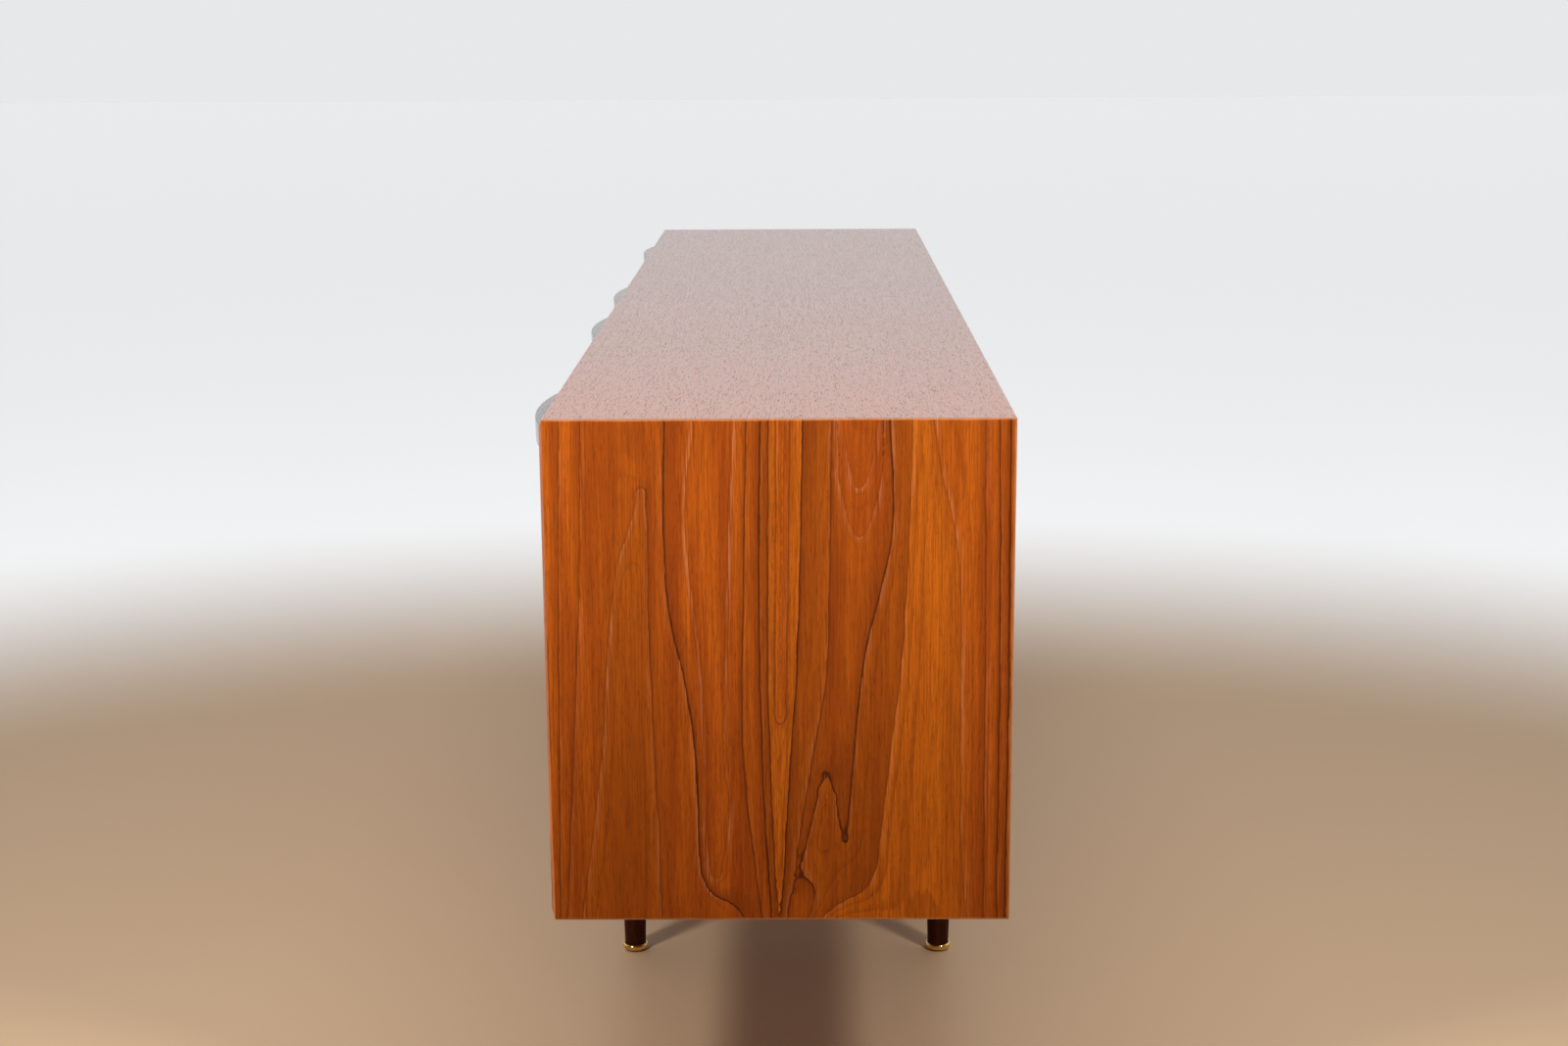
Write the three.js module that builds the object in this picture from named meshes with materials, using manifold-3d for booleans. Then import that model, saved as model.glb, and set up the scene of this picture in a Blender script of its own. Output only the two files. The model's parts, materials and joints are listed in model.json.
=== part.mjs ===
// A long, low sideboard: a mitred teak case on four turned legs.
// The case holds a bank of three drawers, a wide cupboard with a pair of doors,
// and a narrow cupboard with one door. Millimetres, +Z up, front towards -Y,
// origin on the floor under the middle of the object's box.
import * as THREE from 'three';
import { mergeVertices } from 'three/addons/utils/BufferGeometryUtils.js';
import Module from 'manifold-3d';

const wasm = await Module();
wasm.setup();

// ---- Driving dimensions -------------------------------------------------------------

const LENGTH = 2000;
const DEPTH = 450; // flat side of an end panel, from its front arris to its back edge
const HEIGHT = 743;
const CASE_HEIGHT = 503;
const BOARD = 18;
const FIT = 0.3; // glue line or cut clearance between two pieces
const MITRE_FIT = 0.05; // half of the glue line in a corner of the case
const OVER = 2; // how far a cutter runs past the face it cuts

const BEVEL = { depth: 3.5, width: 9 }; // the front edge slopes out from its arris
const PULL_REACH = 25; // from the front arris to the tip of a pull
const FRONT_INSET = 2; // door and drawer faces behind the foremost line of the frame
const FRONT_GAP = 2; // round the doors and drawer fronts
const HINGE_GAP = 2.5; // beside a hinged edge
const BAY_SIDE = 344; // clear width of the drawer bay and of the narrow cupboard

const BACK = { thickness: 6, inset: 8, groove: 5 };
const SHELF = { thickness: 16, setback: 12, dado: 5 };

const LEG = { x: 500, inset: 40, topRadius: 18, footRadius: 12.5, chamfer: 1.2, sides: 28 };
const TENON = { radius: 10, length: 14 };
const BEARER = { width: 64, height: 22, length: 420 };
const GLIDE = { radius: 15, height: 8.5, seat: 6, seatRadius: 13.2, soften: 2.2 };

const PULL = { length: 270, height: 25, lip: 7, roof: 11, endReach: 1.5, stations: 18 };
const SLIVER = 0.3; // the finger hollow narrows to this at the ends of a pull
const CENTRE_PULL_X = 178;

const HINGE = { height: 50, leaf: 16, plate: 1.2, knuckle: 2, pin: 0.9, bore: 1, sides: 20 };
const HINGE_AHEAD = 0.8; // hinge axis in front of the door's face
const HINGE_FROM_END = 62; // hinge centre to the nearer end of the door
const KNUCKLE_HALF = 8.2; // half the height of the door leaf's one knuckle
const SWEEP_GAP = 0.3; // round a knuckle, for the leaf that turns past it

const STRIKE = { width: 32, height: 14, thickness: 1.2, fromTop: 3, fromEdge: 6 };
const CATCH = { single: 40, double: 76, height: 13, depth: 18 };

const DRAWERS = ['lower', 'middle', 'top'];
const BOX = { side: 12, clearance: 3, foot: 12, headroom: 18, backGap: 26 };
const BOTTOM = { thickness: 6, groove: 4, lift: 8 };
const RUNNER = { height: 13, groove: 14, grooveDepth: 6.5, width: 8.2, setback: 11, length: 368 };

// ---- Planes worked out from them ----------------------------------------------------

// The pulls stand out in front, so the case sits back by half of their reach.
const BACK_Y = (DEPTH + PULL_REACH) / 2;
const ARRIS_Y = BACK_Y - DEPTH;
const FRAME_Y = ARRIS_Y - BEVEL.depth;
const FACE_Y = FRAME_Y + FRONT_INSET;
const INNER_Y = FACE_Y + BOARD;
const CASE_Z = HEIGHT - CASE_HEIGHT;
const MIDDLE_Z = HEIGHT - CASE_HEIGHT / 2;
const FLOOR_Z = CASE_Z + BOARD;
const CEILING_Z = HEIGHT - BOARD;
const WALL_X = LENGTH / 2 - BOARD;
const BAY_X = WALL_X - BAY_SIDE; // face of a partition towards the nearer end
const CENTRE_X = BAY_X - BOARD; // face of a partition towards the middle
const BAY_CENTRE_X = (WALL_X + BAY_X) / 2;
const BACK_PANEL_Y = BACK_Y - BACK.inset - BACK.thickness;
const DOOR_BOTTOM_Z = FLOOR_Z + FRONT_GAP;
const DOOR_TOP_Z = CEILING_Z - FRONT_GAP;
const HINGE_Y = FACE_Y - HINGE_AHEAD;
const HINGE_HEIGHTS = {
  upper: DOOR_TOP_Z - HINGE_FROM_END,
  lower: DOOR_BOTTOM_Z + HINGE_FROM_END,
};

const wood = (color, roughness) => new THREE.MeshStandardMaterial({ color, roughness });
const metal = (color, roughness) =>
  new THREE.MeshStandardMaterial({ color, roughness, metalness: 1 });
const MATERIALS = {
  teak: wood(0xb0602a, 0.42),
  darkWood: wood(0x42241a, 0.38),
  drawerWood: wood(0xc79a62, 0.6),
  backPly: wood(0x9a6a3c, 0.65),
  brass: metal(0xc9a352, 0.28),
  steel: metal(0xb8b8b4, 0.35),
  magnetCase: new THREE.MeshStandardMaterial({ color: 0x4b3322, roughness: 0.5 }),
};

const group = new THREE.Group();

function add(name, geometry, material, parent = group) {
  const mesh = new THREE.Mesh(geometry, MATERIALS[material]);
  mesh.name = name;
  parent.add(mesh);
  return mesh;
}

// ---- Shapes, cuts and joins ---------------------------------------------------------

// A box between two corners.
function block([x0, x1], [y0, y1], [z0, z1]) {
  const geometry = new THREE.BoxGeometry(Math.abs(x1 - x0), y1 - y0, z1 - z0);
  return geometry.translate((x0 + x1) / 2, (y0 + y1) / 2, (z0 + z1) / 2);
}

// A round bar along Z.
function bar(radius, [z0, z1], sides) {
  const geometry = new THREE.CylinderGeometry(radius, radius, z1 - z0, sides);
  return geometry.rotateX(Math.PI / 2).translate(0, 0, (z0 + z1) / 2);
}

// A turned piece along Z from its outline of [radius, height] points.
function turned(outline) {
  const points = outline.map(([radius, height]) => new THREE.Vector2(radius, height));
  return new THREE.LatheGeometry(points, LEG.sides).rotateX(Math.PI / 2);
}

function toSolid(geometry) {
  const bare = new THREE.BufferGeometry();
  bare.setAttribute('position', geometry.getAttribute('position').clone());
  bare.setIndex(geometry.index);
  const merged = mergeVertices(bare, 1e-4);
  return new wasm.Manifold(new wasm.Mesh({
    numProp: 3,
    vertProperties: new Float32Array(merged.getAttribute('position').array),
    triVerts: new Uint32Array(merged.index.array),
  }));
}

function toGeometry(solid) {
  const mesh = solid.getMesh();
  const geometry = new THREE.BufferGeometry();
  geometry.setAttribute('position', new THREE.BufferAttribute(mesh.vertProperties, 3));
  geometry.setIndex(new THREE.BufferAttribute(mesh.triVerts, 1));
  return geometry;
}

function cut(geometry, cutters) {
  return toGeometry(cutters.reduce((left, cutter) => left.subtract(toSolid(cutter)), toSolid(geometry)));
}

function join(geometries) {
  return toGeometry(geometries.map(toSolid).reduce((whole, piece) => whole.add(piece)));
}

// Rings of points joined into one closed skin. The rings run towards +X and their
// points run anticlockwise seen from +X. Each end has a flat cap, a fan round one
// point of the ring that sees all the others.
function loft(rings, fan) {
  const count = rings[0].length;
  const index = [];
  for (let i = 0; i + 1 < rings.length; i += 1) {
    for (let j = 0; j < count; j += 1) {
      const next = (j + 1) % count;
      const [a, b] = [i * count + j, i * count + next];
      index.push(a, b, b + count, a, b + count, a + count);
    }
  }
  const last = (rings.length - 1) * count;
  for (let j = 0; j + 2 < count; j += 1) {
    const [b, c] = [(fan + j + 1) % count, (fan + j + 2) % count];
    index.push(fan, c, b, last + fan, last + b, last + c);
  }
  const geometry = new THREE.BufferGeometry();
  geometry.setAttribute('position', new THREE.Float32BufferAttribute(rings.flat(2), 3));
  return geometry.setIndex(index);
}

// ---- The case -----------------------------------------------------------------------

// A case board with mitred ends. In its own axes X runs along the board, Y from the
// front edge to the back, and Z from the outer face inwards. The front edge has its
// bevel, and the inner face has the groove that holds the back panel.
function caseBoard(length) {
  const grooveFront = BACK_PANEL_Y - FIT;
  const grooveBack = BACK_PANEL_Y + BACK.thickness + FIT;
  const section = new THREE.Shape([
    [BACK_Y, 0], [ARRIS_Y, 0], [FRAME_Y, BEVEL.width], [FRAME_Y, BOARD],
    [grooveFront, BOARD], [grooveFront, BOARD - BACK.groove],
    [grooveBack, BOARD - BACK.groove], [grooveBack, BOARD], [BACK_Y, BOARD],
  ].map(([y, z]) => new THREE.Vector2(y, z)));
  const geometry = new THREE.ExtrudeGeometry(section, { depth: 1, bevelEnabled: false });
  const points = geometry.getAttribute('position');
  for (let i = 0; i < points.count; i += 1) {
    const inward = points.getY(i);
    const reach = length / 2 - inward - MITRE_FIT;
    const along = (2 * points.getZ(i) - 1) * reach;
    points.setXYZ(i, along, points.getX(i), inward);
  }
  geometry.deleteAttribute('normal');
  geometry.deleteAttribute('uv');
  return geometry;
}

// The housing for a shelf in a face at x, cut to a depth that has the sign of the cut.
function shelfDado(x, depth) {
  const half = SHELF.thickness / 2 + FIT;
  return block(
    [x - Math.sign(depth) * OVER, x + depth],
    [INNER_Y + SHELF.setback - FIT, BACK_PANEL_Y + OVER],
    [MIDDLE_Z - half, MIDDLE_Z + half],
  );
}

// The recesses for two hinge leaves, in the face at x = axisX + side * HINGE_GAP / 2.
function hingeRecesses(axisX, side) {
  const half = HINGE.height / 2 + FIT;
  const near = axisX + side * (HINGE_GAP / 2 - OVER / 2);
  const far = axisX + side * (HINGE.knuckle + FIT);
  return Object.values(HINGE_HEIGHTS).map((z) => block(
    [near, far], [FRAME_Y - OVER, HINGE_Y + HINGE.leaf + FIT], [z - half, z + half],
  ));
}

// Hinge axes, named for their doors, with the side that the case leaf is on.
const RIGHT_HINGE = { x: WALL_X - HINGE_GAP / 2, side: 1 };
const CENTRE_RIGHT_HINGE = { x: CENTRE_X - HINGE_GAP / 2, side: 1 };
const CENTRE_LEFT_HINGE = { x: -CENTRE_X + HINGE_GAP / 2, side: -1 };

function placeBoard(name, geometry, position, turn) {
  const board = add(name, geometry, 'teak');
  board.position.set(...position);
  board.rotation.y = turn;
}

placeBoard('top_panel', caseBoard(LENGTH), [0, 0, HEIGHT], Math.PI);
placeBoard('bottom_panel', caseBoard(LENGTH), [0, 0, CASE_Z], 0);
placeBoard('left_end_panel', caseBoard(CASE_HEIGHT), [-LENGTH / 2, 0, MIDDLE_Z], Math.PI / 2);

// The right end takes a shelf and two hinge leaves, cut where it stands in the case.
const rightEnd = caseBoard(CASE_HEIGHT).rotateY(-Math.PI / 2).translate(LENGTH / 2, 0, MIDDLE_Z);
add('right_end_panel', cut(rightEnd, [
  shelfDado(WALL_X, SHELF.dado), ...hingeRecesses(RIGHT_HINGE.x, 1),
]), 'teak');

function partition(side) {
  return block(
    [side * CENTRE_X, side * BAY_X], [FRAME_Y, BACK_PANEL_Y - FIT],
    [FLOOR_Z + FIT, CEILING_Z - FIT],
  );
}

add('left_partition', cut(partition(-1), [
  shelfDado(-CENTRE_X, -SHELF.dado), ...hingeRecesses(CENTRE_LEFT_HINGE.x, -1),
]), 'teak');
add('right_partition', cut(partition(1), [
  shelfDado(CENTRE_X, SHELF.dado), shelfDado(BAY_X, -SHELF.dado),
  ...hingeRecesses(CENTRE_RIGHT_HINGE.x, 1),
]), 'teak');

const backReach = BACK.groove - FIT;
add('back_panel', block(
  [-WALL_X - backReach, WALL_X + backReach],
  [BACK_PANEL_Y, BACK_PANEL_Y + BACK.thickness],
  [FLOOR_Z - backReach, CEILING_Z + backReach],
), 'backPly');

function shelf(name, x0, x1) {
  const tongue = SHELF.dado - FIT;
  add(name, block(
    [x0 - tongue, x1 + tongue],
    [INNER_Y + SHELF.setback, BACK_PANEL_Y - FIT],
    [MIDDLE_Z - SHELF.thickness / 2, MIDDLE_Z + SHELF.thickness / 2],
  ), 'teak');
}

shelf('centre_shelf', -CENTRE_X, CENTRE_X);
shelf('right_shelf', BAY_X, WALL_X);

// ---- Legs, bearers and glides -------------------------------------------------------

const BEARER_Z = CASE_Z - FIT - BEARER.height; // underside of a bearer
const LEG_ROWS = { front: ARRIS_Y + LEG.inset, back: BACK_Y - LEG.inset };
const LEG_BOTTOM_Z = GLIDE.seat + FIT;

function legGeometry() {
  const shoulder = BEARER_Z - FIT;
  return turned([
    [0, LEG_BOTTOM_Z], [LEG.footRadius - LEG.chamfer, LEG_BOTTOM_Z],
    [LEG.footRadius, LEG_BOTTOM_Z + LEG.chamfer], [LEG.topRadius, shoulder],
    [TENON.radius - FIT, shoulder], [TENON.radius - FIT, shoulder + TENON.length],
    [0, shoulder + TENON.length],
  ]);
}

// A brass cup: a rolled rim round the dished seat that the leg stands in.
function glideGeometry() {
  return turned([
    [0, 0], [GLIDE.radius - GLIDE.soften, 0], [GLIDE.radius, GLIDE.soften],
    [GLIDE.radius, GLIDE.height - GLIDE.soften / 2],
    [GLIDE.radius - GLIDE.soften / 4, GLIDE.height],
    [GLIDE.seatRadius, GLIDE.seat + FIT], [GLIDE.seatRadius - FIT, GLIDE.seat],
    [0, GLIDE.seat],
  ]);
}

function bearerGeometry(x) {
  const middleY = (LEG_ROWS.front + LEG_ROWS.back) / 2;
  const sockets = Object.values(LEG_ROWS).map((y) =>
    bar(TENON.radius, [BEARER_Z - OVER, BEARER_Z + TENON.length + FIT], LEG.sides).translate(x, y, 0));
  return cut(block(
    [x - BEARER.width / 2, x + BEARER.width / 2],
    [middleY - BEARER.length / 2, middleY + BEARER.length / 2],
    [BEARER_Z, CASE_Z - FIT],
  ), sockets);
}

for (const [side, x] of [['left', -LEG.x], ['right', LEG.x]]) {
  add(`${side}_bearer`, bearerGeometry(x), 'darkWood');
  for (const [row, y] of Object.entries(LEG_ROWS)) {
    add(`${row}_${side}_leg`, legGeometry(), 'darkWood').position.set(x, y, 0);
    add(`${row}_${side}_glide`, glideGeometry(), 'brass').position.set(x, y, 0);
  }
}

// ---- Pulls --------------------------------------------------------------------------

// A crescent on the top of a door or drawer front. Its plan is a shallow arc, its top
// is flat, and its upright lip has a finger hollow behind it, open downwards.
function pullGeometry() {
  const tip = FACE_Y - FIT - (ARRIS_Y - PULL_REACH);
  const rings = [];
  for (let i = 0; i <= PULL.stations; i += 1) {
    const u = (2 * i) / PULL.stations - 1;
    const reach = PULL.endReach + (tip - PULL.endReach) * (1 - u * u);
    const x = (u * PULL.length) / 2;
    const hollow = Math.max(reach - PULL.lip, SLIVER);
    rings.push([
      [x, 0, 0], [x, -reach, 0], [x, -reach, -PULL.height],
      [x, -hollow, -PULL.height], [x, -hollow, -PULL.roof], [x, 0, -PULL.roof],
    ]);
  }
  return loft(rings, 4);
}

function addPull(front, x, topZ) {
  add(`${front}_pull`, pullGeometry(), 'darkWood').position.set(x, FACE_Y - FIT, topZ);
}

// ---- Doors, hinges and catches ------------------------------------------------------

// One hinge leaf round an axis on Z. The case leaf has the two outer knuckles and the
// pin, and the door leaf has the middle knuckle, bored to turn on the pin.
function hingeLeaf(side, isCaseLeaf) {
  const half = HINGE.height / 2;
  const outer = [[-half, -KNUCKLE_HALF - FIT], [KNUCKLE_HALF + FIT, half]];
  const middle = [[-KNUCKLE_HALF, KNUCKLE_HALF]];
  const [own, other] = isCaseLeaf ? [outer, middle] : [middle, outer];
  const clear = HINGE.knuckle + SWEEP_GAP;
  const plate = cut(
    block([side * (HINGE.knuckle - HINGE.plate), side * HINGE.knuckle], [0, HINGE.leaf], [-half, half]),
    other.map(([z0, z1]) => bar(clear, [z0 - FIT, z1 + FIT], HINGE.sides)),
  );
  const knuckles = own.map((span) => bar(HINGE.knuckle, span, HINGE.sides));
  if (isCaseLeaf) {
    return join([plate, ...knuckles, bar(HINGE.pin, [-half + FIT, half - FIT], HINGE.sides)]);
  }
  return cut(join([plate, ...knuckles]), [bar(HINGE.bore, [-half, half], HINGE.sides)]);
}

function addHinges(door, hinge) {
  for (const [level, z] of Object.entries(HINGE_HEIGHTS)) {
    const place = [hinge.x, HINGE_Y, z];
    const name = `${door}_${level}_hinge`;
    add(`${name}_case_leaf`, hingeLeaf(hinge.side, true), 'brass').position.set(...place);
    add(`${name}_door_leaf`, hingeLeaf(-hinge.side, false), 'brass').position.set(...place);
  }
}

// A flat door with recesses for its hinge leaves, its pull, and its strike plate.
function addDoor(door, freeEdge, hinge, pullX) {
  const hingedEdge = hinge.x - (hinge.side * HINGE_GAP) / 2;
  const [x0, x1] = [Math.min(freeEdge, hingedEdge), Math.max(freeEdge, hingedEdge)];
  const slab = block([x0, x1], [FACE_Y, INNER_Y], [DOOR_BOTTOM_Z, DOOR_TOP_Z]);
  add(door, cut(slab, hingeRecesses(hinge.x, -hinge.side)), 'teak');
  addHinges(door, hinge);
  addPull(door, pullX, DOOR_TOP_Z);

  const near = freeEdge + hinge.side * STRIKE.fromEdge;
  const far = near + hinge.side * STRIKE.width;
  const top = DOOR_TOP_Z - STRIKE.fromTop;
  add(`${door}_strike`, block(
    [Math.min(near, far), Math.max(near, far)],
    [INNER_Y + FIT, INNER_Y + FIT + STRIKE.thickness],
    [top - STRIKE.height, top],
  ), 'steel');
}

addDoor('centre_left_door', -FRONT_GAP / 2, CENTRE_LEFT_HINGE, -CENTRE_PULL_X);
addDoor('centre_right_door', FRONT_GAP / 2, CENTRE_RIGHT_HINGE, CENTRE_PULL_X);
addDoor('right_door', BAY_X + FRONT_GAP, RIGHT_HINGE, BAY_CENTRE_X);

function addCatch(name, x, width) {
  const front = INNER_Y + STRIKE.thickness + 2 * FIT;
  add(name, block(
    [x - width / 2, x + width / 2], [front, front + CATCH.depth],
    [CEILING_Z - FIT - CATCH.height, CEILING_Z - FIT],
  ), 'magnetCase');
}

addCatch('centre_catch', 0, CATCH.double);
addCatch('right_catch', BAY_X + FRONT_GAP + STRIKE.fromEdge + STRIKE.width / 2, CATCH.single);

// ---- Drawers ------------------------------------------------------------------------

const FRONT_HEIGHT = (DOOR_TOP_Z - DOOR_BOTTOM_Z - (DRAWERS.length - 1) * FRONT_GAP) / DRAWERS.length;
const BOX_HEIGHT = FRONT_HEIGHT - BOX.foot - BOX.headroom;
const BOX_HALF = BAY_SIDE / 2 - BOX.clearance;
const BOX_Y = [INNER_Y + FIT, BACK_PANEL_Y - BOX.backGap];

// Two sides and a back in one frame, grooved outside for the runners and inside for
// the bottom. Its origin is at the foot of the box, in the middle of its width.
function drawerBox() {
  const inner = BOX_HALF - BOX.side;
  const innerBack = BOX_Y[1] - BOX.side;
  const grooveX = BOX_HALF - RUNNER.grooveDepth;
  const grooveZ = [(BOX_HEIGHT - RUNNER.groove) / 2, (BOX_HEIGHT + RUNNER.groove) / 2];
  const ahead = BOX_Y[0] - OVER;
  return cut(block([-BOX_HALF, BOX_HALF], BOX_Y, [0, BOX_HEIGHT]), [
    block([-inner, inner], [ahead, innerBack], [-OVER, BOX_HEIGHT + OVER]),
    block(
      [-inner - BOTTOM.groove, inner + BOTTOM.groove], [ahead, innerBack + BOTTOM.groove],
      [BOTTOM.lift, BOTTOM.lift + BOTTOM.thickness + 2 * FIT],
    ),
    block([grooveX, BOX_HALF + OVER], [ahead, BOX_Y[1] + OVER], grooveZ),
    block([-BOX_HALF - OVER, -grooveX], [ahead, BOX_Y[1] + OVER], grooveZ),
  ]);
}

function drawerBottom() {
  const reach = BOX_HALF - BOX.side + BOTTOM.groove - FIT;
  const back = BOX_Y[1] - BOX.side + BOTTOM.groove - FIT;
  const z = BOTTOM.lift + FIT;
  return block([-reach, reach], [BOX_Y[0], back], [z, z + BOTTOM.thickness]);
}

function addRunner(name, wallX, inward, z) {
  const near = wallX + inward * FIT;
  const far = near + inward * RUNNER.width;
  add(name, block(
    [Math.min(near, far), Math.max(near, far)],
    [INNER_Y + RUNNER.setback, INNER_Y + RUNNER.setback + RUNNER.length],
    [z - RUNNER.height / 2, z + RUNNER.height / 2],
  ), 'drawerWood');
}

DRAWERS.forEach((level, i) => {
  const name = `${level}_drawer`;
  const frontZ = DOOR_BOTTOM_Z + i * (FRONT_HEIGHT + FRONT_GAP);
  const halfFront = BAY_SIDE / 2 - FRONT_GAP;
  const drawer = new THREE.Group();
  drawer.position.set(-BAY_CENTRE_X, 0, frontZ);
  group.add(drawer);
  add(`${name}_front`, block([-halfFront, halfFront], [FACE_Y, INNER_Y], [0, FRONT_HEIGHT]),
    'teak', drawer);
  add(`${name}_box`, drawerBox(), 'drawerWood', drawer).position.z = BOX.foot;
  add(`${name}_bottom`, drawerBottom(), 'drawerWood', drawer).position.z = BOX.foot;
  addPull(name, -BAY_CENTRE_X, frontZ + FRONT_HEIGHT);

  const runnerZ = frontZ + BOX.foot + BOX_HEIGHT / 2;
  addRunner(`${name}_left_runner`, -WALL_X, 1, runnerZ);
  addRunner(`${name}_right_runner`, -BAY_X, -1, runnerZ);
});

export default group;
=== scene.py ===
# %% [markdown]
# # A long teak sideboard
# The case, legs, doors, drawers and hinges come in as finished joinery, and this
# lesson gives them their surfaces: veneer with a real figure, turned legs, brass
# glides, carved pulls and the small ironmongery. Lengths are in metres, the floor
# is z = 0, the front faces -Y and the narrow cupboard is at the +X end.

# %% Load the joinery
import json
import math

import bpy
import numpy as np
from mathutils import Euler, Matrix, Vector


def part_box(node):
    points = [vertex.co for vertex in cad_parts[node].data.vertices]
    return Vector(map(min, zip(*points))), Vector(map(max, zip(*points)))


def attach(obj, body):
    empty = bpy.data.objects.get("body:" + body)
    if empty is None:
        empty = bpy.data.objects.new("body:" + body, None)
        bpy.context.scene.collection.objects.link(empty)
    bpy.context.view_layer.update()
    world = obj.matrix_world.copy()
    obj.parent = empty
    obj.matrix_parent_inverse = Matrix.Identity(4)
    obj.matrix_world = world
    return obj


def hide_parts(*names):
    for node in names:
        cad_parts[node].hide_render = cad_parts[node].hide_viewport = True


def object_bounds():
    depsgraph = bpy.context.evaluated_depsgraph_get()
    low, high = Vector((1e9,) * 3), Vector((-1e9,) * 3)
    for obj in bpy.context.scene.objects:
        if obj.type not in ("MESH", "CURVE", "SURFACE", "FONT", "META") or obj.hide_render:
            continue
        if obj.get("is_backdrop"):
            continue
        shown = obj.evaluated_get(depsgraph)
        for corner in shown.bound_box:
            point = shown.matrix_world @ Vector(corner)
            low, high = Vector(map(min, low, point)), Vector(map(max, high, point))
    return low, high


MM = 0.001
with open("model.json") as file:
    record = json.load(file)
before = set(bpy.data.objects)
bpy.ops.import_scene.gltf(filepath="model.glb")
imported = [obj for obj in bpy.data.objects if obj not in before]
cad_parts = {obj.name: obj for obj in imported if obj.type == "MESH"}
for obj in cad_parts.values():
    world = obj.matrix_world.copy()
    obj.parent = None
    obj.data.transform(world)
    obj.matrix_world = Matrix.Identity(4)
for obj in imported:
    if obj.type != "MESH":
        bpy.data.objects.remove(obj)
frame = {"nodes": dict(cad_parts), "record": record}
CASE_LOW, CASE_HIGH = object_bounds()
NODES = frame["nodes"]
BODIES = frame["record"]["behaviour"]["bodies"]
BODY_OF = {node: body for body, members in BODIES.items() for node in members}

# %% [markdown]
# ## Camera
# The eye stands a little over two metres from the narrow end, at chest height, and
# looks along the top and slightly down. Its place is worked out from the arris where
# the end panel meets its bevelled front edge, so it would follow the case if the case
# changed. The long lens keeps the near end from looking swollen.

# %% Camera
END_LOW, END_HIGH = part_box("right_end_panel")
FRONT_BEVEL = 3.5 * MM
ARRIS_Y = END_LOW.y + FRONT_BEVEL
EYE_FROM_END, EYE_FROM_ARRIS, EYE_HEIGHT = 2.1408, 0.2489, 1.1112
LENS, SENSOR, SIGHT = 52.8, 36, 100
PITCH, HEADING, ROLL = math.radians(12.36), math.radians(90.527), math.radians(-0.31)

camera = bpy.data.objects.new("camera", bpy.data.cameras.new("camera"))
camera.data.lens = LENS
camera.data.sensor_width = SENSOR
camera.data.clip_end = SIGHT
look = Euler((math.pi / 2 - PITCH, 0, HEADING)).to_matrix() @ Matrix.Rotation(ROLL, 3, "Z")
eye = Vector((END_HIGH.x + EYE_FROM_END, ARRIS_Y + EYE_FROM_ARRIS, EYE_HEIGHT))
camera.matrix_world = Matrix.Translation(eye) @ look.to_4x4()
bpy.context.scene.collection.objects.link(camera)
bpy.context.scene.camera = camera
print("eye at", tuple(round(v, 3) for v in eye))

# %% [markdown]
# ## Writing shaders in few words
# A shader is a graph. These helpers add a node, feed its inputs in order with numbers
# or with other nodes' outputs, and hand back the output, so that a formula reads like
# one. A shared effect is built once as a node group and placed in each material.

# %% Shader helpers
class Graph:
    """Adds nodes to one node tree. Every method gives back an output socket."""

    def __init__(self, tree):
        self.tree = tree

    def make(self, kind, *feeds, **settings):
        """A node of this kind, with its inputs fed in order. None leaves an input alone."""
        made = self.tree.nodes.new(kind)
        for key, value in settings.items():
            setattr(made, key, value)
        for socket, feed in zip([s for s in made.inputs if s.enabled], feeds):
            self.feed(socket, feed)
        return made

    def feed(self, socket, value):
        if isinstance(value, bpy.types.NodeSocket):
            self.tree.links.new(value, socket)
        elif value is not None:
            socket.default_value = value

    def math(self, operation, *values, clamp=False):
        return self.make("ShaderNodeMath", *values, operation=operation, use_clamp=clamp).outputs[0]

    def vector(self, operation, *values):
        made = self.make("ShaderNodeVectorMath", *values, operation=operation)
        return made.outputs["Value" if operation in ("LENGTH", "DOT_PRODUCT") else "Vector"]

    def noise(self, place, scale, detail=2.0, roughness=0.5):
        made = self.make("ShaderNodeTexNoise")
        self.feed(made.inputs["Vector"], place)
        self.feed(made.inputs["Scale"], scale)
        self.feed(made.inputs["Detail"], detail)
        self.feed(made.inputs["Roughness"], roughness)
        return made.outputs["Fac"]

    def chance(self, value):
        """A random number from 0 to 1 for each different value."""
        made = self.make("ShaderNodeTexWhiteNoise", noise_dimensions="1D")
        self.feed(made.inputs["W"], value)
        return made.outputs["Value"]

    def ramp(self, value, low, high, to_low=0.0, to_high=1.0):
        """A smooth step from to_low to to_high while value goes from low to high."""
        made = self.make("ShaderNodeMapRange", value, low, high, to_low, to_high,
                         interpolation_type="SMOOTHSTEP", clamp=True)
        return made.outputs["Result"]

    def mix(self, share, first, second, blend="MIX"):
        made = self.tree.nodes.new("ShaderNodeMix")
        made.data_type, made.blend_type = "RGBA", blend
        for index, value in ((0, share), (6, first), (7, second)):
            self.feed(made.inputs[index], value)
        return made.outputs[2]

    def split(self, place):
        return self.make("ShaderNodeSeparateXYZ", place).outputs

    def join(self, x, y, z):
        return self.make("ShaderNodeCombineXYZ", x, y, z).outputs[0]

    def group(self, name, **feeds):
        made = self.make("ShaderNodeGroup", node_tree=bpy.data.node_groups[name])
        for key, value in feeds.items():
            self.feed(made.inputs[key.replace("_", " ")], value)
        return made.outputs


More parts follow.
